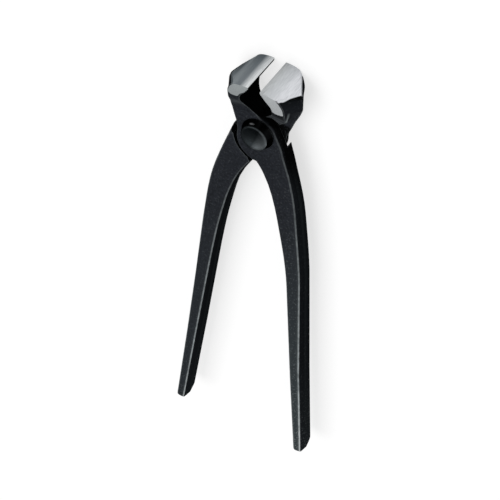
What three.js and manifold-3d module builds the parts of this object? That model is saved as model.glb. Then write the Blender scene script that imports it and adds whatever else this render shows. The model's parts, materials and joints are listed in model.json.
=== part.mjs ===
// Pincers with long slim handles, for nipping and twisting wire.
// Two alike forged levers cross in a half-lap joint and turn on one rivet.
// They lie on their rear side: +X to the right, +Y towards the jaws, +Z out of the front.
import * as THREE from "three";
import { mergeVertices } from "three/addons/utils/BufferGeometryUtils.js";
import Module from "manifold-3d";

const wasm = await Module();
wasm.setup();

// A lever is drawn as it stands with the tool shut: the pivot at the origin, the parting plane of
// the forging at z = 0, the jaw on the left and the handle on the right. Millimetres and degrees.

// Whole tool
const edgeHeight = 28.8; // pivot to cutting edges
const handleLength = 197; // pivot to handle tips
const jawWidth = 22.6; // length of a cutting edge
const jointDepth = 9.4; // through both levers at the rivet
const handleOffset = 14.8; // middle of the tool to the straight part of a handle
const handleLean = 1.1; // how far both handles stand to the left, below the joint
const restOpening = 10.8; // between the levers as the tool lies

// Jaw
const jawReach = 15.9; // middle of the tool to the back of a jaw
const cheekSlope = 15; // lean of the ground cheeks towards the joint
const forgedJawWidth = 24.4; // before the cheeks are ground
const crownRadius = 18; // of the ground top
const crownRise = 8; // of the top behind the cutting edge
const edgeLand = 0.9; // upright strip below the cutting edge
const mouthHalfWidth = 5.9; // hollow behind the cutting edges
const throatHeight = 9.5; // pivot to the bottom of that hollow

// Handle
const handleRootWidth = 17;
const handleTipWidth = 5.3;
const handleWaistDepth = 8.7;
const handleTipDepth = 11.6;
const tipRound = 3.2; // length of the rounded tip, seen from the side
const forgedCorner = 1.5; // rounding of the long edges
const brokenCorner = 0.35; // rounding of ground and cut edges
const draftStep = 0.6; // how far the parting ridge stands proud

// Joint
const lapRadius = 11.2; // round end that turns in the other lever's shoulder
const lapDraft = 0.1; // how far the parting ridge stands proud of that end at its foot
const wideningBearing = 190; // where the round end starts to widen towards the crotch
const crotchDrop = 16.3; // pivot to the crotch, where the inner sides part
const jawRoomRadius = 13.7; // room under a jaw for the other lever
const jawShoulderBearing = 130; // where that room opens out to the jaw's back
const throatBearing = 112; // where it turns down beside the mouth
const rootShoulderBearing = -32; // foot of the other shoulder, on the handle
const bandRadius = 8.2; // from the pivot to the lever's outer side
const shankRadius = 5;
const headRadius = 7.6;
const headFaceRadius = 6.5;
const headHeight = 4;
const headRound = 0.8;
const lapGap = 0.3; // between the lapped faces
const shoulderGap = 0.35; // round the lapped ends
const pinClearance = 0.15;
const seatGap = 0.25; // under the rivet's heads

// Drawing
const overrun = 3; // how far a cutter reaches past what it cuts
const cornerSteps = 3;
const roundSteps = 48;
const handleSlices = 30;
const jointSlices = 42;
const lapEndSteps = 14;
const crotchSteps = 6;

// Outer side of the handle, from the joint to the tip: shares of handleLength and handleOffset.
const handleOuterShares = [
  [-0.026, 0.838], [-0.051, 0.909], [-0.078, 0.993], [-0.102, 1.061], [-0.127, 1.125],
  [-0.155, 1.186], [-0.19, 1.24], [-0.238, 1.27], [-0.365, 1.297], [-0.543, 1.247],
  [-0.746, 1.199], [-1, 1.176],
];

// How much of handleLean a lever has, over shares of handleLength.
const leanShares = [[0.02, 0], [-0.03, 1], [-0.13, 1], [-0.4, 0]];

// Width of the handle: shares of handleLength and handleRootWidth.
const handleWidthShares = [
  [-0.048, 1.08], [-0.06, 1.06], [-0.075, 1.02], [-0.095, 0.93], [-0.109, 0.88],
  [-0.139, 0.8], [-0.17, 0.745], [-0.203, 0.695], [-0.238, 0.65], [-0.365, 0.53],
  [-0.543, 0.44], [-0.746, 0.372],
];

// Depth of the handle: shares of handleLength and of the step from waist depth to tip depth.
const handleDepthShares = [[-0.11, 0], [-0.25, 0.52], [-0.45, 0.7], [-0.75, 1.1], [-1, 1]];

// Hollow of the mouth below the bevel: shares of edgeHeight and mouthHalfWidth.
const mouthShares = [[0.825, -0.54], [0.77, -0.79], [0.7, -0.97], [0.63, -1], [0.57, -0.94], [0.4, -0.41]];

// Lever's outer side past the rivet: bearings from +X, and shares of bandRadius.
const bandBearings = [70.4, 50.6, 27.8, -5.4];
const bandShares = [0.984, 0.979, 1.03, 1.27];

// Back of the jaw, from the top to the shoulder: shares of edgeHeight and jawReach.
const jawBackShares = [
  [1.05, -0.685], [1, -0.74], [0.969, -0.774], [0.92, -0.83], [0.868, -0.885], [0.8, -0.95],
  [0.73, -0.99], [0.66, -1], [0.59, -0.98], [0.49, -0.93], [0.375, -0.86], [0.235, -0.8],
  [0.13, -0.748], [0.035, -0.701],
];

// How far the corners of the jaw stand in from its parting ridge: shares of edgeHeight and jawReach.
const jawDraftShares = [
  [1.05, 0.283], [0.969, 0.264], [0.92, 0.233], [0.868, 0.228], [0.8, 0.236], [0.73, 0.252],
  [0.66, 0.245], [0.607, 0.22], [0.493, 0.138], [0.37, 0.05],
];

// The forging swells from the joint's depth to the jaw's between these shares of edgeHeight.
const swellShares = [0.32, 0.93];

// How far the cut for the other lever reaches below the pivot: share of crotchDrop.
const crotchFootShare = 1.24;

// Slices that round the tip: shares of tipRound.
const tipSliceShares = [0, 0.02, 0.08, 0.2, 0.4, 0.68, 1];

// Part of the tip's depth that its rounding takes off.
const tipFullnessShare = 0.85;

// Slices nearer than this share of draftStep to the one before are left out.
const sliceGapShare = 0.15;

// Heights on the side of a rivet head where its roundings start: shares of headRound.
const headRoundShares = [0.5, 0.33];

const toRadians = THREE.MathUtils.degToRad;
const scaled = (shares, first, second) => shares.map(([a, b]) => [a * first, b * second]);

// A smooth line through chosen points [place, value], as a function that gives the value at a place.
function lineThrough(points) {
  const rising = [...points].sort((a, b) => a[0] - b[0]);
  const slope = rising.slice(1).map((p, i) => (p[1] - rising[i][1]) / (p[0] - rising[i][0]));
  const tangent = rising.map((p, i) => {
    const before = slope[Math.max(i - 1, 0)];
    const after = slope[Math.min(i, slope.length - 1)];
    return before * after > 0 ? (2 * before * after) / (before + after) : 0;
  });
  return (place) => {
    const beyond = rising.findIndex((p) => p[0] > place);
    const i = beyond < 0 ? rising.length - 2 : Math.max(beyond - 1, 0);
    const [low, high] = [rising[i], rising[i + 1]];
    const span = high[0] - low[0];
    const t = THREE.MathUtils.clamp((place - low[0]) / span, 0, 1);
    const rise = high[1] - low[1];
    const bend = (1 - t) * (tangent[i] * span - rise) - t * (tangent[i + 1] * span - rise);
    return low[1] + rise * t + bend * t * (1 - t);
  };
}

// Sides of the lever, as lines of x over y
const handleOuter = scaled(handleOuterShares, handleLength, handleOffset);
const handleLeanAt = lineThrough(scaled(leanShares, handleLength, handleLean));
const bandPoints = bandShares.map((share, i) => {
  const bearing = toRadians(bandBearings[i]);
  return new THREE.Vector2(Math.cos(bearing), Math.sin(bearing)).multiplyScalar(share * bandRadius);
});
const mouthSide = lineThrough([
  ...scaled(mouthShares, edgeHeight, mouthHalfWidth),
  [throatHeight, 0],
  ...bandPoints.map((p) => [p.y, p.x]),
  ...handleOuter,
]);
const handleWidth = lineThrough([
  ...scaled(handleWidthShares, handleLength, handleRootWidth),
  [-handleLength, handleTipWidth],
]);
const jawBack = lineThrough(scaled(jawBackShares, edgeHeight, jawReach));
const jawDraft = lineThrough([...scaled(jawDraftShares, edgeHeight, jawReach), [0, draftStep]]);
const handleDepth = lineThrough([
  [0, jointDepth],
  [-lapRadius, jointDepth],
  ...handleDepthShares.map(([place, share]) => {
    return [place * handleLength, THREE.MathUtils.lerp(handleWaistDepth, handleTipDepth, share)];
  }),
]);

const bevelTop = edgeHeight - edgeLand;
const bevelFoot = mouthShares[0][0] * edgeHeight;
const shoulderTop = jawBackShares.at(-1)[0] * edgeHeight;

// Share of a rounding that has gone at a distance from the end of the handle.
function roundOff(distance, radius) {
  const toCentre = THREE.MathUtils.clamp(1 - distance / radius, 0, 1);
  return 1 - Math.sqrt(1 - toCentre ** 2);
}

// The cutting edge, its land and bevel, the mouth, then the outer side of the handle
function rightSide(y, lean) {
  if (y > bevelTop) return 0;
  if (y > bevelFoot) return (mouthSide(bevelFoot) * (bevelTop - y)) / (bevelTop - bevelFoot);
  return mouthSide(y) + lean * handleLeanAt(y) - forgedCorner * roundOff(y + handleLength, forgedCorner);
}

function innerSide(y, lean) {
  const outer = mouthSide(y) + lean * handleLeanAt(y);
  return outer - handleWidth(y) + forgedCorner * roundOff(y + handleLength, forgedCorner);
}

// The round end of the joint: from its widening bearing its radius grows evenly to the crotch.
function lapEnd(lean) {
  const foot = new THREE.Vector2(innerSide(-crotchDrop, lean), -crotchDrop);
  const [start, end] = [toRadians(wideningBearing), foot.angle()];
  const radiusAt = (bearing) => {
    return THREE.MathUtils.mapLinear(Math.max(bearing, start), start, end, lapRadius, foot.length());
  };
  const line = lineThrough(Array.from({ length: lapEndSteps + 1 }, (_, i) => {
    const bearing = THREE.MathUtils.lerp(start, end, i / lapEndSteps);
    return [radiusAt(bearing) * Math.sin(bearing), radiusAt(bearing) * Math.cos(bearing)];
  }));
  return { start, end, radiusAt, line };
}

const [inwardEnd, outwardEnd] = [lapEnd(-1), lapEnd(1)];
const lapEndOf = (lean) => (lean < 0 ? inwardEnd : outwardEnd);

// The back of the jaw, the round end of the joint, then the inner side of the handle
function leftSide(y, lean) {
  if (y > shoulderTop) return jawBack(y);
  if (y <= -crotchDrop) return innerSide(y, lean);
  const end = lapEndOf(lean);
  if (y < lapRadius * Math.sin(end.start)) return end.line(y);
  return -Math.sqrt(lapRadius ** 2 - y ** 2);
}

// The ground cheeks cut into the swelling forging, and the tip is rounded.
function halfDepth(y) {
  if (y <= 0) return (handleDepth(y) / 2) * (1 - tipFullnessShare * roundOff(y + handleLength, tipRound));
  const swell = THREE.MathUtils.smoothstep(y, swellShares[0] * edgeHeight, swellShares[1] * edgeHeight);
  const forged = THREE.MathUtils.lerp(jointDepth, forgedJawWidth, swell) / 2;
  const ground = jawWidth / 2 - (edgeHeight - y) * Math.tan(toRadians(cheekSlope));
  return Math.min(forged, Math.max(ground, jointDepth / 2));
}

// A slice across the lever: a ridge on each side and four rounded corners.
function slice(y, lean) {
  const [left, right, half] = [leftSide(y, lean), rightSide(y, lean), halfDepth(y)];
  const atMouth = y > throatHeight;
  const asForged = y > -crotchDrop ? THREE.MathUtils.smoothstep(y, -lapRadius, 0) : 1;
  const most = Math.min((right - left) / 4, half / 2);
  const leftRound = Math.min(THREE.MathUtils.lerp(brokenCorner, forgedCorner, asForged), most);
  const rightRound = Math.min(atMouth ? brokenCorner : forgedCorner, most);
  const lowDraft = THREE.MathUtils.lerp(lapDraft, draftStep, asForged);
  const inLeft = left + (y > 0 ? jawDraft(y) : lowDraft);
  const inRight = right - (atMouth ? 0 : draftStep);
  const ring = [[left, 0]];
  const addCorner = (x, z, from, to) => {
    for (let i = 0; i <= cornerSteps; i += 1) {
      const [a, b] = [(1 - i / cornerSteps) ** 2, (i / cornerSteps) ** 2];
      ring.push([x + a * from[0] + b * to[0], z + a * from[1] + b * to[1]]);
    }
  };
  addCorner(inLeft, half, [0, -leftRound], [leftRound, 0]);
  addCorner(inRight, half, [-rightRound, 0], [0, -rightRound]);
  ring.push([right, 0]);
  addCorner(inRight, -half, [0, rightRound], [-rightRound, 0]);
  addCorner(inLeft, -half, [leftRound, 0], [0, leftRound]);
  return ring.map(([x, z]) => new THREE.Vector3(x, y, z));
}

// Slices lie close together at the tip, the joint and the jaw, and wider along the handle.
function sliceHeights() {
  const tipTop = tipRound - handleLength;
  const handleTop = -lapRadius * 2;
  const jawTop = edgeHeight + overrun;
  const along = (low, high, count) => {
    return Array.from({ length: count + 1 }, (_, i) => low + ((high - low) * i) / count);
  };
  const heights = [
    ...tipSliceShares.map((share) => share * tipRound - handleLength),
    ...along(tipTop, handleTop, handleSlices),
    ...along(handleTop, jawTop, jointSlices),
    bevelTop, bevelFoot, lapRadius, -lapRadius, shoulderTop, -crotchDrop,
  ];
  heights.sort((a, b) => a - b);
  return heights.filter((y, i) => i === 0 || y - heights[i - 1] > draftStep * sliceGapShare);
}

// A skin over the slices, closed at both ends.
function loft(rings) {
  const count = rings[0].length;
  const index = [];
  for (let r = 0; r + 1 < rings.length; r += 1) {
    for (let i = 0; i < count; i += 1) {
      const a = r * count + i;
      const b = r * count + ((i + 1) % count);
      index.push(a, b, a + count, b, b + count, a + count);
    }
  }
  const last = (rings.length - 1) * count;
  for (let i = 1; i + 1 < count; i += 1) {
    index.push(0, i + 1, i, last, last + i, last + i + 1);
  }
  const geometry = new THREE.BufferGeometry().setFromPoints(rings.flat());
  geometry.setIndex(index);
  return geometry;
}

// A closed geometry as a solid that can be cut, and back.
function toSolid(geometry) {
  const bare = geometry.clone();
  bare.deleteAttribute("normal");
  bare.deleteAttribute("uv");
  const merged = mergeVertices(bare);
  const vertProperties = Float32Array.from(merged.attributes.position.array);
  const triVerts = Uint32Array.from(merged.index.array);
  return new wasm.Manifold(new wasm.Mesh({ numProp: 3, vertProperties, triVerts }));
}

function toGeometry(solid) {
  const mesh = solid.getMesh();
  const geometry = new THREE.BufferGeometry();
  geometry.setAttribute("position", new THREE.BufferAttribute(mesh.vertProperties, 3));
  geometry.setIndex(new THREE.BufferAttribute(mesh.triVerts, 1));
  geometry.computeVertexNormals();
  return geometry;
}

function extrudeAcross(shape, low, high) {
  const settings = { depth: high - low, bevelEnabled: false, curveSegments: roundSteps / 2 };
  return new THREE.ExtrudeGeometry(shape, settings).translate(0, 0, low);
}

// What grinding takes off the top of the jaw, down to a crown that falls away from the edge.
function crownCutter() {
  const rise = toRadians(crownRise);
  const centre = new THREE.Vector2(-Math.sin(rise), -Math.cos(rise)).multiplyScalar(crownRadius);
  centre.y += edgeHeight;
  const farX = centre.x - crownRadius;
  const shape = new THREE.Shape();
  shape.moveTo(overrun, edgeHeight);
  shape.lineTo(overrun, edgeHeight + overrun);
  shape.lineTo(farX, edgeHeight + overrun);
  shape.absarc(centre.x, centre.y, crownRadius, Math.PI, Math.PI / 2 - rise, true);
  return extrudeAcross(shape, -jawWidth, jawWidth);
}

// The room that a lever's rear half leaves for the other lever: under the jaw, round the pivot on
// the handle's side, and past the other handle in the crotch.
function lapCutter(lean) {
  const far = jawReach + lapRadius;
  const otherEnd = lapEndOf(-lean);
  const roomRadius = (bearing) => otherEnd.radiusAt(Math.PI - bearing) + shoulderGap;
  const [jawShoulder, throat] = [toRadians(jawShoulderBearing), toRadians(throatBearing)];
  const rootShoulder = toRadians(rootShoulderBearing);
  const crotchFoot = -crotchDrop * crotchFootShare;
  const shape = new THREE.Shape();
  shape.moveTo(far * Math.cos(jawShoulder), far * Math.sin(jawShoulder));
  shape.lineTo(jawRoomRadius * Math.cos(jawShoulder), jawRoomRadius * Math.sin(jawShoulder));
  shape.absarc(0, 0, jawRoomRadius, jawShoulder, throat, true);
  shape.lineTo(0, throatHeight);
  shape.lineTo(far, throatHeight);
  const shoulderDrop = 2 * roomRadius(rootShoulder) * Math.sin(rootShoulder);
  shape.lineTo(far, far * Math.tan(-rootShoulder) + shoulderDrop);
  for (let i = 0; i <= lapEndSteps; i += 1) {
    const bearing = THREE.MathUtils.lerp(rootShoulder, Math.PI - otherEnd.end, i / lapEndSteps);
    shape.lineTo(roomRadius(bearing) * Math.cos(bearing), roomRadius(bearing) * Math.sin(bearing));
  }
  for (let i = 1; i <= crotchSteps; i += 1) {
    const y = THREE.MathUtils.lerp(-crotchDrop - shoulderGap, crotchFoot, i / crotchSteps);
    shape.lineTo(Math.max(-innerSide(y, -lean), 0) + shoulderGap, y);
  }
  shape.lineTo(-far, crotchFoot);
  return extrudeAcross(shape, -jointDepth, lapGap / 2);
}

// One forging serves for both levers. A lean of 1 sets the handle outwards, of -1 inwards.
function leverGeometry(lean) {
  const forging = toSolid(loft(sliceHeights().map((y) => slice(y, lean))));
  const bore = new THREE.CylinderGeometry(
    shankRadius + pinClearance, shankRadius + pinClearance, jawWidth, roundSteps,
  ).rotateX(Math.PI / 2);
  const lever = forging
    .subtract(toSolid(crownCutter()))
    .subtract(toSolid(lapCutter(lean)))
    .subtract(toSolid(bore));
  return toGeometry(lever);
}

// The rivet, with a tapered round head on each side.
function rivetGeometry() {
  const seat = jointDepth / 2 + seatGap;
  const face = seat + headHeight;
  const half = [
    [shankRadius, seat],
    [headRadius, seat],
    [headRadius, seat + headRound * headRoundShares[0]],
    [headFaceRadius + headRound * headRoundShares[1], face - headRound],
    [headFaceRadius, face - headRound * headRoundShares[1]],
    [headFaceRadius - headRound, face],
    [0, face],
  ].map(([r, z]) => new THREE.Vector2(r, z));
  const mirrored = half.map((p) => new THREE.Vector2(p.x, -p.y)).reverse();
  return new THREE.LatheGeometry([...mirrored, ...half], roundSteps).rotateX(Math.PI / 2);
}

const blackenedSteel = { color: "#1b1e1f", metalness: 0.7, roughness: 0.5 };

function named(name, geometry, look) {
  const mesh = new THREE.Mesh(geometry, new THREE.MeshStandardMaterial(look));
  mesh.name = name;
  return mesh;
}

// The front lever passes over the rear one, which is the same forging turned over.
const pincers = new THREE.Group();
const frontLever = named("front_lever", leverGeometry(-1), blackenedSteel);
frontLever.rotation.z = toRadians(restOpening / 2);
const rearLever = named("rear_lever", leverGeometry(1), blackenedSteel);
rearLever.rotation.set(0, Math.PI, -toRadians(restOpening / 2), "ZYX");
const rivet = named("rivet", rivetGeometry(), { ...blackenedSteel, color: "#24282a" });
pincers.add(frontLever, rearLever, rivet);

// The origin is the middle of the tool's outline, on the surface that it lies on.
pincers.updateMatrixWorld(true);
const outline = new THREE.Box3().setFromObject(pincers, true);
const middle = outline.getCenter(new THREE.Vector3());
pincers.position.set(-middle.x, -middle.y, -outline.min.z);

export default pincers;
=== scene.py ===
# Pincers of forged steel, lying part open on a pale studio floor.
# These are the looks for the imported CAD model: metres, +Y towards the jaws, +Z out of the front.
import json
from math import cos, radians, sin
import bmesh
import bpy
from mathutils import Euler, Matrix, Vector


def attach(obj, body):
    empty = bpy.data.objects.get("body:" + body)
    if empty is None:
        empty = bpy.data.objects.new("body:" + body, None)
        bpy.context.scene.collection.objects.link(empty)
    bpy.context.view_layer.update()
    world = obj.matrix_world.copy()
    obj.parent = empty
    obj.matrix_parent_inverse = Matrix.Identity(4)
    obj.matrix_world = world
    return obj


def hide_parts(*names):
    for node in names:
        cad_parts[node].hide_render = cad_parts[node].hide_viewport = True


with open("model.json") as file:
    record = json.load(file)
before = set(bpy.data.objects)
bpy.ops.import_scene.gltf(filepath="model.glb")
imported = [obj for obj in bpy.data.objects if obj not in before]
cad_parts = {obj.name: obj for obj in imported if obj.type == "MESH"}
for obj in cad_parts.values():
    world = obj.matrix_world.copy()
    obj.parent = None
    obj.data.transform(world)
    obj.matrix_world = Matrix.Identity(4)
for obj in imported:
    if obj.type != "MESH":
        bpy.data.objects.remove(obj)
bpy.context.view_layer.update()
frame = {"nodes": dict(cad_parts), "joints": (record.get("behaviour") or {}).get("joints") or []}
pivot = Vector(frame["joints"][0]["pos_m"])
millimetre = 0.001
print("frame loaded:", ", ".join(sorted(frame["nodes"])))


def linear(hexColour):
    channels = [int(hexColour[i:i + 2], 16) / 255 for i in (1, 3, 5)]
    return [c / 12.92 if c <= 0.04045 else ((c + 0.055) / 1.055) ** 2.4 for c in channels] + [1]


# Settings: a socket by its name or number, or one of the node's own settings.
# Where the value is a node or one of its outputs, it is linked.
def addNode(tree, kind, settings):
    node = tree.nodes.new("ShaderNode" + kind)
    for name, value in settings.items():
        if isinstance(value, bpy.types.Node):
            value = value.outputs[0]
        if isinstance(value, bpy.types.NodeSocket):
            tree.links.new(value, node.inputs[name])
        elif isinstance(name, int) or name in node.inputs:
            node.inputs[name].default_value = value
        else:
            setattr(node, name, value)
    return node


def newMaterial(name):
    material = bpy.data.materials.new(name)
    material.use_nodes = True
    material.node_tree.nodes.clear()
    return material, material.node_tree


# A mark is two amounts and one or more of (measure, start, end). The amount goes from the first to
# the last as the first measure goes from its start to its end, and each further measure lets the
# mark in from start to end. Where marks overlap, the strongest holds. A name as the last amount
# is one of the piece's own values.
def strongest(tree, marks, measures, look):
    amounts = []
    for first, last, *limits in marks:
        amount = look.get(last, last)
        for measure, start, end in limits:
            amount = addNode(tree, "MapRange", {
                "Value": measures[measure], "From Min": start, "From Max": end,
                "To Min": first, "To Max": amount,
            })
            first = 0
        amounts.append(amount)
    amount = amounts[0]
    for other in amounts[1:]:
        amount = addNode(tree, "Math", {"operation": "MAXIMUM", 0: amount, 1: other})
    return amount


# A colour with others laid over it in turn, each where its marks are
def coated(tree, base, coats, measures, look):
    colour = linear(look[base])
    for name, marks in coats.items():
        colour = addNode(tree, "Mix", {
            "data_type": "RGBA", 0: strongest(tree, marks, measures, look),
            6: colour, 7: linear(look[name]),
        }).outputs[2]
    return colour


# Camera: the photograph's viewing angle
camera = {
    "turn": 26.835,  # round the tool's long axis, degrees
    "lift": 45.941,  # above the middle of the tool, towards the jaws
    "roll": 3.865,
    "offset": (5.6917, 51.984, -805.19),  # of the rivet from the camera, millimetres
    "lens": 137.46,
    "clip": (0.05, 20),  # metres
}
turn, lift, roll = (radians(camera[k]) for k in ("turn", "lift", "roll"))
back = Vector((sin(turn) * cos(lift), sin(lift), cos(turn) * cos(lift)))
level = Vector((cos(turn), 0, -sin(turn)))
upright = back.cross(level)
right = cos(roll) * level + sin(roll) * upright
up = cos(roll) * upright - sin(roll) * level
x, y, z = (millimetre * v for v in camera["offset"])
eye = bpy.data.objects.new("camera", bpy.data.cameras.new("camera"))
eye.data.lens = camera["lens"]
eye.data.clip_start, eye.data.clip_end = camera["clip"]
eye.matrix_world = Matrix.Translation(pivot - x * right - y * up - z * back) @ Matrix(
    (right, up, back)
).transposed().to_4x4()
bpy.context.collection.objects.link(eye)
bpy.context.scene.camera = eye
bpy.context.scene.view_settings.view_transform = "Standard"
print("camera set")

# Studio: a pale floor, a wide soft light above, and a low strip that draws the edges
studio = {
    "floorSize": 6,  # metres
    "floorColour": "#b4b4b4",
    "floorRoughness": 0.9,
    "floorGlow": 0.66,  # seen by the camera and in reflections only
    "worldColour": "#ffffff",
    "worldStrength": 0.3,
    "lamps": [
        # name, where it stands (metres from the rivet, which it faces), width, height, watts
        ("overhead softbox", (-0.35, 0.1, 1.5), 1.6, 1.6, 17),
        ("edge strip", (0.62, -0.72, 0.33), 0.15, 0.5, 0.8),
    ],
}
world = bpy.data.worlds.new("studio")
bpy.context.scene.world = world
world.use_nodes = True
world.node_tree.nodes["Background"].inputs[0].default_value = linear(studio["worldColour"])
world.node_tree.nodes["Background"].inputs[1].default_value = studio["worldStrength"]
for name, place, width, height, power in studio["lamps"]:
    lamp = bpy.data.objects.new(name, bpy.data.lights.new(name, "AREA"))
    lamp.data.shape = "RECTANGLE"
    lamp.data.size = width
    lamp.data.size_y = height
    lamp.data.energy = power
    lamp.matrix_world = Matrix.Translation(pivot + Vector(place)) @ (
        Vector(place).to_track_quat("Z", "Y").to_matrix().to_4x4()
    )
    bpy.context.collection.objects.link(lamp)

bpy.ops.object.select_all(action="DESELECT")
bpy.ops.mesh.primitive_plane_add(size=studio["floorSize"], location=(0, 0, 0))
floor = bpy.context.active_object
floor.name = "studio_floor"
# uncoated paper: an even pale ground with a soft shadow and no shine
paper, tree = newMaterial("matt studio paper")
path = addNode(tree, "LightPath", {})
seen = path.outputs["Is Camera Ray"]
for ray in ("Is Glossy Ray", "Is Transmission Ray"):
    seen = addNode(tree, "Math", {"operation": "MAXIMUM", 0: seen, 1: path.outputs[ray]})
surface = addNode(tree, "BsdfPrincipled", {
    "Base Color": linear(studio["floorColour"]), "Roughness": studio["floorRoughness"],
    "Specular IOR Level": 0.0, "Emission Color": (1, 1, 1, 1),
    "Emission Strength": addNode(tree, "Math", {
        "operation": "MULTIPLY", 0: seen, 1: studio["floorGlow"],
    }),
})
addNode(tree, "OutputMaterial", {"Surface": surface})
floor.data.materials.append(paper)
print("studio set")
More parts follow.
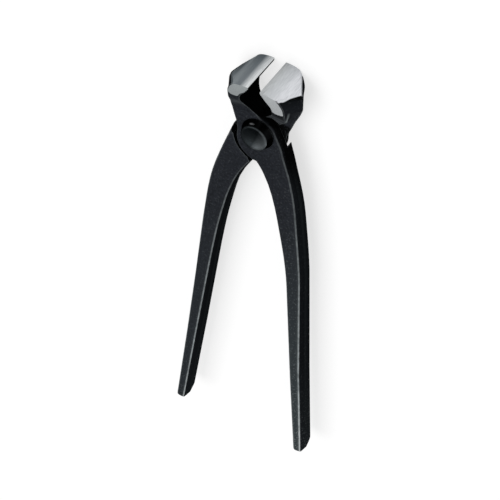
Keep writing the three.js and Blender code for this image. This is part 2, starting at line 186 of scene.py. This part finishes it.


# Levers: the CAD forgings with their outside edges broken, in carbon steel, drop forged and
# blackened in the heat treatment: a dull charcoal skin with fine scale, rubbed grey on its edges
# and corners and greyer towards the handles' tips. The colour also holds painted highlights along
# the round corners and at the handles' tips, a painted sheen from the corners onto the front, a
# painted highlight streak on the neck, and painted shade on the sides, in and near the joint and in
# the bite. The tops of the jaws and the upper part of their cheeks are ground, so they are bright,
# with fine lines from the wheel, and their shades are painted reflections. One shader holds both,
# because the grinding stops in the middle of a face.
# Millimetres and degrees. Places are in a lever's own directions from the pivot: across, below
# 0 towards its jaw's back; along, towards the jaw; out, below 0 on the side that the other lever
# covers.
levers = {
    "each": {
        # how it lies, turned over about its length and then swung; how much greyer it gets towards
        # its handle's tip, which also sets its painted tip highlight; its painted sheen from the
        # corners onto the front; how far it is specked; its ground colours, painted reflections
        # that differ between the levers
        "front_lever": {
            "body": "front", "turnOver": 0, "swing": 5.4,
            "tipLightening": 0.8, "paintedCornerSheen": 0.35, "specking": 0.24,
            "topBack": "#979da0", "topMiddle": "#777d81", "topEdge": "#dfe2e3", "cheek": "#bdc3c4",
        },
        "rear_lever": {
            "body": "rear", "turnOver": 180, "swing": -5.4,
            "tipLightening": 0.25, "paintedCornerSheen": 0.12, "specking": 0.075,
            "topBack": "#e2e4e8", "topMiddle": "#ced1d4", "topEdge": "#bdc0c1", "cheek": "#d8dcde",
        },
    },

    "brokenEdge": 0.25,
    "sharpAngle": 34,  # anything sharper is a cut or ground edge
    "smoothAngle": 30,
    "footOfBite": (0, 9.5, 0),  # where the shut levers come closest: across, along, out
    "footReach": 0.6,
    "eased": 0.05,  # there
    "sameVertex": 0.002,
    "flatWithin": 0.4,  # degrees, for faces that are one

    "black": "#25272b",  # faces that lie in the hand
    "blackPatch": "#31343a",
    "greyerTowardsTip": "#485052",  # lighter towards the handle's tip
    "paintedSideShade": "#202326",  # painted shade: the sides darker than the faces
    "trimmed": "#303537",  # band left where the flash was cut off
    "paintedJointShade": "#0d0e0f",  # painted shade, in and near the joint
    # grey of worn edges and corners, which also lays the painted highlights and sheen
    "edgeWearAndHighlight": "#b1b8ba",
    "paintedTipHighlight": "#e6eaea",  # painted highlight on the same corners at the handle's tip
    "paintedBiteShade": "#0b0c0c",  # painted shade inside the bite
    "grindingLine": "#50565a",
    "grazingTint": "#595959",

    # size, detail and roughness of each pattern
    "patterns": {
        "scale": (1.1, 5.0, 0.6),  # flakes
        "grit": (0.3, 2.0, 0.5),
        "patches": (2.9, 4.0, 0.5),  # how evenly the worn and highlighted corners show
        "specks": (0.8, 1.0, 0.5),  # where the black has rubbed through
        "ragged": (0.7143, 3.0, 0.5),  # foot of the ground cheek
    },
    "linePitch": 0.18,  # of the grinding, coarser than real so that it shows
    "lineLength": 4,
    "scaleDepth": 0.12,
    "gritDepth": 0.03,
    "lineDepth": 0.02,
    "bumpStrength": 0.6,

    # how far from an edge its wear is seen, and the samples that this takes
    "bends": {"bend": (0.55, 6), "wideBend": (2.2, 8)},
    "cornerBand": ((0.3, 0.6), (0.97, 0.85)),  # facings that make up a round forged corner
    "crownCentre": (-2.505, 10.975, 0),  # of the ground top, whose radius is 18
    "crownCut": (-8.7, -11.16),  # where the grinding of the top ends: across, out
    "crownCutTurn": 20.5,
    # how low the ground part of a cheek reaches on each side: across, along
    "cheekFoot": {
        "covered": [
            (-12.4, 27), (-12.1, 21.8), (-11.2, 20.2), (-9.2, 19.4), (-7, 19.1), (-5.3, 19.9),
            (-3.2, 22.7), (-1.2, 24.9), (0.4, 26.2),
        ],
        "open": [
            (-11.4, 27), (-10.9, 22), (-10.2, 21.1), (-8.7, 20.6), (-6.9, 20.7), (-4.9, 22.9),
            (-2.1, 25.1), (0.4, 27.2),
        ],
    },
    "footSpan": (-14, 1, 15, 30),  # of those curves: across from and to, along from and to
    "sideStep": 0.1,  # how far from the middle one curve gives way to the other

    # Marks. Facing is 1 where the steel looks out and 0 on a side, depth is out without its sign,
    # a bend is 1 where the steel is flat, and wearAndHighlight is what the wear, the painted
    # highlights and sheen, and the specks come to.
    "crownDepth": [(0.13, 0.7, ("across", -6, -7.5))],  # that the grinding of the top reaches
    "topMarks": [(0, 1, ("along", 17, 18), ("fromCrown", 17.97, 18.03), ("pastCut", -0.1, 0.1))],
    "raggedness": [(-0.2, 0.2, ("ragged", 0.3, 0.7))],
    "cheekMarks": [(0, 1, ("facing", 0.75, 0.85), ("aboveFoot", -0.12, 0.12))],
    "wearAndHighlightMarks": [
        # cut edges, more on the neck and the jaw
        (0.25, 0.45, ("along", 8, 12), ("bend", 0.995, 0.93)),
        # round forged corners, more towards the handle's tip: partly wear, partly a painted
        # highlight
        (0.16, 1, ("along", 5, -150), ("corner", 0, 1)),
        # a painted sheen that runs from those corners onto the front
        (0.02, "paintedCornerSheen", ("along", -20, -190), ("wideBend", 0.999, 0.93), ("facing", 0.5, 0.9)),
        # a painted highlight: one short streak on the neck, beside the ledge below a cheek
        (0, 0.6, ("across", -10.5, -11.8), ("out", -7.05, -6.4), ("out", -5.55, -6.2),
         ("along", 14, 15.5), ("along", 20.8, 18.8)),
    ],
    "wearAndHighlightPatches": [(0.45, 1, ("patches", 0.3, 0.65))],
    "speckMarks": [(0.05, "specking", ("along", -20, -190), ("specks", 0.6, 0.7))],
    "speckFade": [(0.4, 1, ("facing", 0.2, 0.6))],
    "forgedCoats": {
        "blackPatch": [(0, 1, ("scale", 0.35, 0.7))],
        "greyerTowardsTip": [(0, "tipLightening", ("along", -40, -190))],
        # painted shade on the sides, a little less towards the handle's tip
        "paintedSideShade": [(1, 0.7, ("along", -130, -190), ("facing", 0.45, 0.2))],
        "trimmed": [(0, 0.5, ("facing", 0.3, 0.15), ("depth", 1.2, 0.9))],
        # painted shade on the sides and on the faces of the lap near the joint
        "paintedJointShade": [
            (0, 1, ("along", -34, -12), ("facing", 0.3, 0.15)),  # sides
            # faces of the lap
            (0, 1, ("along", -34, -12), ("along", 7, 6), ("facing", 0.9, 0.95),
             ("depth", 0.5, 0.35)),
        ],
        # worn grey, also laying the painted highlights and sheen
        "edgeWearAndHighlight": [(0, 1, ("wearAndHighlight", 0, 1))],
        # painted highlight on the worn corners and specks near the handle's tip
        "paintedTipHighlight": [(0, "tipLightening", ("wearAndHighlight", 0, 1), ("along", -150, -190))],
        # painted shade in the bite's recesses
        "paintedBiteShade": [
            (0, 1, ("along", 3, 8), ("across", -10, -8), ("facing", 0.3, 0.15)),
            (0, 1, ("along", 3, 8), ("across", -10, -8), ("depth", 2.5, 1.5)),
            # painted shade where the other lever lies over this one
            (0, 1, ("along", 3, 8), ("across", -8, -4), ("out", -1, -2), ("along", 13, 11)),
            # painted shade on the ledge below a cheek
            (0, 0.5, ("along", 3, 8), ("out", -6.5, -7.5), ("facing", 0.6, 0.8)),
        ],
    },
    # ground colours: painted reflections, changing across the top from back to middle to edge, and
    # lighter on one lever than the other, the cheeks too
    "groundCoats": {
        "topMiddle": [(0, 1, ("across", -8, -5.4))],
        "topEdge": [(0, 1, ("across", -3.9, -0.9))],
        "cheek": [(0, 1, ("onCheek", 0, 1))],
        "grindingLine": [(0, 0.35, ("lines", 0.35, 0.75))],
    },
    "forgedMetal": [(0.35, 0.8, ("wearAndHighlight", 0, 1))],
    "groundMetal": [(1, 0.45, ("onCheek", 0, 1))],
    "forgedRoughness": [(0.43, 0.57, ("scale", 0.3, 0.7))],
    "groundRoughness": [(0.31, 0.41, ("lines", 0.3, 0.7))],
}


def leverSteel(node):
    look = {**levers, **levers["each"][node]}
    material, tree = newMaterial("blackened forged steel, " + look["body"] + " lever")
    coordinates = addNode(tree, "TexCoord", {})
    place = addNode(tree, "Mapping", {
        "vector_type": "TEXTURE", "Vector": coordinates.outputs["Object"], "Location": pivot,
        "Rotation": (0, radians(look["turnOver"]), radians(look["swing"])),
        "Scale": (millimetre, millimetre, millimetre),
    })
    across, along, out = addNode(tree, "SeparateXYZ", {"Vector": place}).outputs
    facing = addNode(tree, "SeparateXYZ", {"Vector": coordinates.outputs["Normal"]}).outputs[2]
    facing = addNode(tree, "Math", {"operation": "ABSOLUTE", 0: facing})
    measures = {
        "across": across, "along": along, "out": out, "facing": facing,
        "depth": addNode(tree, "Math", {"operation": "ABSOLUTE", 0: out}),
    }
    for name, (size, detail, roughness) in look["patterns"].items():
        measures[name] = addNode(tree, "TexNoise", {
            "Vector": place, "Scale": 1 / size, "Detail": detail, "Roughness": roughness,
        })
    lines = addNode(tree, "Mapping", {
        "Vector": place,
        "Scale": (1 / look["linePitch"], 1 / look["linePitch"], 1 / look["lineLength"]),
    })
    measures["lines"] = addNode(tree, "TexNoise", {"Vector": lines, "Scale": 1.0, "Detail": 3.0})

    # the ground top: on the round of the jaw, up to a slanting line
    flat = addNode(tree, "CombineXYZ", {"X": across, "Y": along})
    fromCentre = addNode(tree, "VectorMath", {
        "operation": "DISTANCE", 0: flat, 1: look["crownCentre"],
    }).outputs["Value"]
    measures["fromCrown"] = addNode(tree, "Math", {
        "operation": "ADD", 0: fromCentre, 1: strongest(tree, look["crownDepth"], measures, look),
    })
    turn = radians(look["crownCutTurn"])
    cutAcross, cutOut = look["crownCut"]
    measures["pastCut"] = addNode(tree, "VectorMath", {
        "operation": "DOT_PRODUCT",
        0: addNode(tree, "CombineXYZ", {"X": across, "Y": out, "Z": 1.0}),
        1: (cos(turn), sin(turn), -cos(turn) * cutAcross - sin(turn) * cutOut),
    }).outputs["Value"]
    top = strongest(tree, look["topMarks"], measures, look)

    # the ground cheeks: above a curve on each side of the jaw
    feet = []
    left, right, low, high = look["footSpan"]
    where = addNode(tree, "MapRange", {"Value": across, "From Min": left, "From Max": right})
    for side in ("covered", "open"):
        curve = addNode(tree, "FloatCurve", {"Value": where})
        line = curve.mapping.curves[0]
        spots = [((a - left) / (right - left), (u - low) / (high - low))
                 for a, u in look["cheekFoot"][side]]
        line.points[0].location = spots[0]
        line.points[-1].location = spots[-1]
        for spot in spots[1:-1]:
            line.points.new(*spot)
        curve.mapping.update()
        feet.append(addNode(tree, "MapRange", {"Value": curve, "To Min": low, "To Max": high}))
    foot = addNode(tree, "MapRange", {
        "Value": out, "From Min": -look["sideStep"], "From Max": look["sideStep"],
        "To Min": feet[0], "To Max": feet[1],
    })
    measures["aboveFoot"] = addNode(tree, "Math", {
        "operation": "ADD", 0: addNode(tree, "Math", {"operation": "SUBTRACT", 0: along, 1: foot}),
        1: strongest(tree, look["raggedness"], measures, look),
    })
    measures["onCheek"] = strongest(tree, look["cheekMarks"], measures, look)
    ground = addNode(tree, "Math", {"operation": "MAXIMUM", 0: top, 1: measures["onCheek"]})

    # wear and painted light: the rubbed edges, the corners with their painted highlights, the
    # painted sheen and streak, and the specks, which are fainter on the sides
    straight = addNode(tree, "NewGeometry", {}).outputs["Normal"]
    for name, (reach, samples) in look["bends"].items():
        rounded = addNode(tree, "Bevel", {"samples": samples, "Radius": reach * millimetre})
        measures[name] = addNode(tree, "VectorMath", {
            "operation": "DOT_PRODUCT", 0: rounded, 1: straight,
        }).outputs["Value"]
    measures["corner"] = 1.0
    for start, end in look["cornerBand"]:
        measures["corner"] = addNode(tree, "MapRange", {
            "interpolation_type": "SMOOTHSTEP", "Value": facing, "From Min": start, "From Max": end,
            "To Max": measures["corner"],
        })
    wearAndSheen, specks = (
        addNode(tree, "Math", {
            "operation": "MULTIPLY", 0: strongest(tree, look[marks], measures, look),
            1: strongest(tree, look[fade], measures, look),
        })
        for marks, fade in (("wearAndHighlightMarks", "wearAndHighlightPatches"), ("speckMarks", "speckFade"))
    )
    measures["wearAndHighlight"] = addNode(tree, "Math", {"operation": "MAXIMUM", 0: wearAndSheen, 1: specks})

    black = coated(tree, "black", look["forgedCoats"], measures, look)
    bright = coated(tree, "topBack", look["groundCoats"], measures, look)
    colour = addNode(tree, "Mix", {"data_type": "RGBA", 0: ground, 6: black, 7: bright}).outputs[2]
    shine, rough = (
        addNode(tree, "MapRange", {
            "Value": ground, "To Min": strongest(tree, look[forged], measures, look),
            "To Max": strongest(tree, look[bare], measures, look),
        })
        for forged, bare in (
            ("forgedMetal", "groundMetal"), ("forgedRoughness", "groundRoughness"),
        )
    )
    # heights in millimetres: flakes and grit on the black skin, wheel lines where it is ground
    skin = addNode(tree, "Math", {
        "operation": "MULTIPLY_ADD", 0: measures["grit"], 1: look["gritDepth"],
        2: addNode(tree, "Math", {
            "operation": "MULTIPLY", 0: measures["scale"], 1: look["scaleDepth"],
        }),
    })
    height = addNode(tree, "MapRange", {
        "Value": ground, "To Min": skin,
        "To Max": addNode(tree, "Math", {
            "operation": "MULTIPLY", 0: measures["lines"], 1: look["lineDepth"],
        }),
    })
    surface = addNode(tree, "BsdfPrincipled", {
        "Base Color": colour, "Metallic": shine, "Roughness": rough,
        "Specular IOR Level": 0.0, "Specular Tint": linear(look["grazingTint"]),
        "Normal": addNode(tree, "Bump", {
            "Strength": look["bumpStrength"], "Distance": millimetre, "Height": height,
        }),
    })
    addNode(tree, "OutputMaterial", {"Surface": surface})
    return material


def finerLever(node):
    s = {**levers, **levers["each"][node]}
    piece = bpy.data.objects.new("forged_" + node, frame["nodes"][node].data.copy())
    bpy.context.collection.objects.link(piece)
    bpy.ops.object.select_all(action="DESELECT")
    piece.select_set(True)
    bpy.context.view_layer.objects.active = piece
    bpy.ops.object.mode_set(mode="EDIT")
    bpy.ops.mesh.select_all(action="SELECT")
    bpy.ops.mesh.remove_doubles(threshold=s["sameVertex"] * millimetre)
    bpy.ops.mesh.customdata_custom_splitnormals_clear()
    bpy.ops.mesh.dissolve_limited(angle_limit=radians(s["flatWithin"]))

    # a little room at the foot of the bite, so that the shut levers don't rub
    turned = Euler((0, radians(s["turnOver"]), radians(s["swing"]))).to_matrix()
    foot = pivot + turned @ Vector(s["footOfBite"]) * millimetre
    bpy.ops.mesh.select_mode(type="VERT")
    bpy.ops.mesh.select_all(action="DESELECT")
    shape = bmesh.from_edit_mesh(piece.data)
    for vertex in shape.verts:
        vertex.select = (vertex.co - foot).length < s["footReach"] * millimetre
    shape.select_flush_mode()
    bmesh.update_edit_mesh(piece.data)
    print(node, "vertices eased:", sum(v.select for v in shape.verts))
    bpy.ops.transform.translate(value=turned @ Vector((-s["eased"] * millimetre, 0, 0)))

    # only outside edges are broken: a bevel would fill an inside corner, where the other lever
    # turns
    bpy.ops.mesh.select_mode(type="EDGE")
    bpy.ops.mesh.select_all(action="DESELECT")
    shape = bmesh.from_edit_mesh(piece.data)
    for edge in shape.edges:
        sharp = edge.is_manifold and edge.calc_face_angle() > radians(s["sharpAngle"])
        edge.select = sharp and edge.is_convex
    bmesh.update_edit_mesh(piece.data)
    bpy.ops.transform.edge_bevelweight(value=1)
    bpy.ops.object.mode_set(mode="OBJECT")
    broken = piece.modifiers.new("broken edges", "BEVEL")
    broken.limit_method = "WEIGHT"
    broken.width = s["brokenEdge"] * millimetre
    broken.segments = 2
    broken.use_clamp_overlap = True
    bpy.ops.object.modifier_apply(modifier=broken.name)
    bpy.ops.object.shade_smooth_by_angle(angle=radians(s["smoothAngle"]))
    piece.data.materials.clear()
    piece.data.materials.append(leverSteel(node))
    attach(piece, s["body"])
    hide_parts(node)
    print(piece.name, len(piece.data.polygons), "faces")


for node in levers["each"]:
    finerLever(node)


# Rivet: a bar of mild steel with a head formed at each end, tapered, with a dished face. It is
# turned and blackened: satin black, rubbed grey on its rim, which also carries a painted highlight,
# with faint rings from the lathe. Its colour also holds a painted sheen on the face, painted shade
# on the tapered walls and a painted glint on the wall of the front head.
# Millimetres and degrees.
rivet = {
    "shank": 5,  # a radius, as head and face are
    "seat": 4.95,  # underside of a head, from the middle of the joint
    "head": 7.6,
    "chamfer": 0.25,  # round the underside
    "brim": 0.45,  # the taper starts at this height
    "face": 6.1,
    "height": 4,
    "round": 0.8,  # between wall and face
    "roundOver": 0.27,  # how far it stands past the face
    "dish": 1.0,
    "sides": 96,
    "roundSteps": 5,
    "dishSteps": 6,
    "sameVertex": 0.002,
    "smoothAngle": 40,

    "black": "#25292b",
    # painted sheen on the face
    "wearAndSheen": "#73797c",
    # grey on the rim, partly wear and partly a painted highlight
    "rim": "#73797c",
    # painted shade on the tapered wall of each head
    "paintedWallShade": "#0e0f10",
    "paintedGlint": "#e2e5e6",  # painted glint: one bright spot on the wall of the front head
    "grazingTint": "#595959",
    "metal": 0.9,
    "ringPitch": 0.4,  # coarser than real so that they show
    "ringWobble": 0.6,
    "ringDepth": 0.05,
    "bumpStrength": 0.25,
    "cloudSize": 1.4,
    "bendReach": 0.7,
    "paintedSheenTowards": (0.95, -0.31, 0),
    "paintedGlintAt": (-1.76, 6.47, 7.45),  # from the pivot
    "paintedGlintReach": (1.5, 1.5, 0.55),
    "coats": {
        "wearAndSheen": [(0, 0.95, ("towardsPaintedSheen", 0.5, 6.3))],  # painted sheen on the face, most on the side of the handles
        "paintedWallShade": [(0, 1, ("facing", 0.55, 0.35))],
        "rim": [(0.1, 0.5, ("cloud", 0.3, 0.7), ("bend", 0.995, 0.95))],
        "paintedGlint": [(0, 0.9, ("fromPaintedGlint", 1, 0.4))],
    },
    "roughness": [(0.3, 0.44, ("cloud", 0.3, 0.7))],
}


def turnedRivet():
    s = rivet
    bpy.ops.object.select_all(action="DESELECT")
    bpy.ops.mesh.primitive_cylinder_add(
        vertices=s["sides"], radius=s["shank"] * millimetre, depth=2 * s["seat"] * millimetre,
        location=pivot)
    piece = bpy.context.active_object
    piece.name = "turned_rivet"
    # rings of a head from the seat to the middle of its face: radius, height above the seat
    rings = [(s["head"] - s["chamfer"], 0), (s["head"], s["chamfer"]), (s["head"], s["brim"])]
    corner = s["face"] + s["roundOver"]
    for i in range(s["roundSteps"] + 1):
        angle = radians(90) * i / s["roundSteps"]
        inwards, down = (s["round"] * (1 - part) for part in (cos(angle), sin(angle)))
        rings.append((corner - inwards, s["height"] - down))
    inner = rings[-1][0]
    for i in range(1, s["dishSteps"]):
        share = 1 - i / s["dishSteps"]
        rings.append((inner * share, s["height"] - s["dish"] * (1 - share ** 2)))
    bpy.ops.object.mode_set(mode="EDIT")
    bpy.ops.mesh.select_mode(type="FACE")
    for side in (1, -1):
        bpy.ops.mesh.select_all(action="DESELECT")
        shape = bmesh.from_edit_mesh(piece.data)
        for face in shape.faces:
            face.select = face.normal.z * side > 0.9 and face.calc_center_median().z * side > 0
        bmesh.update_edit_mesh(piece.data)
        radius, height = s["shank"], 0
        for newRadius, newHeight in rings:
            bpy.ops.mesh.extrude_region_move(
                TRANSFORM_OT_translate={"value": (0, 0, side * (newHeight - height) * millimetre)})
            ratio = newRadius / radius
            bpy.ops.transform.resize(value=(ratio, ratio, 1))
            radius, height = newRadius, newHeight
    bpy.ops.mesh.select_all(action="SELECT")
    bpy.ops.mesh.remove_doubles(threshold=s["sameVertex"] * millimetre)
    bpy.ops.mesh.normals_make_consistent(inside=False)
    bpy.ops.object.mode_set(mode="OBJECT")
    bpy.ops.object.transform_apply(location=True, rotation=True, scale=True)
    bpy.ops.object.shade_smooth_by_angle(angle=radians(s["smoothAngle"]))
    return piece


def rivetSteel():
    look = rivet
    material, tree = newMaterial("blackened turned steel")
    coordinates = addNode(tree, "TexCoord", {})
    place = addNode(tree, "Mapping", {
        "vector_type": "TEXTURE", "Vector": coordinates.outputs["Object"],
        "Location": pivot, "Scale": (millimetre, millimetre, millimetre),
    })
    turning = addNode(tree, "TexWave", {  # this node draws a ring every 0.314 of its unit
        "wave_type": "RINGS", "rings_direction": "Z", "Vector": place,
        "Scale": 0.314 / look["ringPitch"], "Distortion": look["ringWobble"], "Detail": 2.0,
    }).outputs["Fac"]
    facing = addNode(tree, "SeparateXYZ", {"Vector": coordinates.outputs["Normal"]}).outputs[2]
    rounded = addNode(tree, "Bevel", {"samples": 6, "Radius": look["bendReach"] * millimetre})
    fromPaintedGlint = addNode(tree, "Mapping", {
        "vector_type": "TEXTURE", "Vector": place, "Location": look["paintedGlintAt"],
        "Scale": look["paintedGlintReach"],
    })
    measures = {
        "cloud": addNode(tree, "TexNoise", {
            "Vector": place, "Scale": 1 / look["cloudSize"], "Detail": 4.0,
        }),
        "facing": addNode(tree, "Math", {"operation": "ABSOLUTE", 0: facing}),
        "bend": addNode(tree, "VectorMath", {
            "operation": "DOT_PRODUCT", 0: rounded,
            1: addNode(tree, "NewGeometry", {}).outputs["Normal"],
        }).outputs["Value"],
        "towardsPaintedSheen": addNode(tree, "VectorMath", {
            "operation": "DOT_PRODUCT", 0: place, 1: look["paintedSheenTowards"],
        }).outputs["Value"],
        "fromPaintedGlint": addNode(tree, "VectorMath", {
            "operation": "LENGTH", 0: fromPaintedGlint,
        }).outputs["Value"],
    }
    surface = addNode(tree, "BsdfPrincipled", {
        "Base Color": coated(tree, "black", look["coats"], measures, look),
        "Metallic": look["metal"],
        "Roughness": strongest(tree, look["roughness"], measures, look),
        "Specular IOR Level": 0.0,
        "Specular Tint": linear(look["grazingTint"]),
        "Normal": addNode(tree, "Bump", {
            "Strength": look["bumpStrength"], "Distance": millimetre,
            "Height": addNode(tree, "Math", {
                "operation": "MULTIPLY", 0: turning, 1: look["ringDepth"],
            }),
        }),
    })
    addNode(tree, "OutputMaterial", {"Surface": surface})
    return material


piece = turnedRivet()
piece.data.materials.append(rivetSteel())
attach(piece, "front")
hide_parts("rivet")
print(piece.name, len(piece.data.polygons), "faces")
